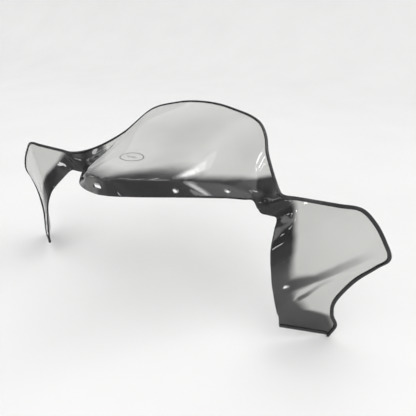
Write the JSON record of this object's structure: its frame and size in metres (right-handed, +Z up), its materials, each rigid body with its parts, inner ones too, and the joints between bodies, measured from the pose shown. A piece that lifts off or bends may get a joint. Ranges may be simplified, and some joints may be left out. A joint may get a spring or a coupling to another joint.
{
  "type": "windshield screen",
  "caption": "Smoked clear windshield screen: a formed dome with a narrow mounting flange, two necks and two side wings, with push-on edge trim.",
  "frame": {"origin": "middle of the screen's bounding box, on the level that the wing tips stand on", "axes": "+X to the screen's right side as its rider faces forward, +Y to the rear, +Z up; the nose of the dome points to -Y"},
  "size_m": [0.8278, 0.3336, 0.3286],
  "materials": {
    "smoked_sheet": "polished, transparent light smoke that fades to opaque black at the mounting edge",
    "trim_rubber": "satin black extrusion",
    "decal_film": null
  },
  "bodies": {
    "root": {"windshield_screen": "smoked_sheet", "edge_trim_main": "trim_rubber", "edge_trim_lower_right": "trim_rubber", "edge_trim_lower_left": "trim_rubber", "oval_decal": "decal_film"}
  },
  "joints": []
}
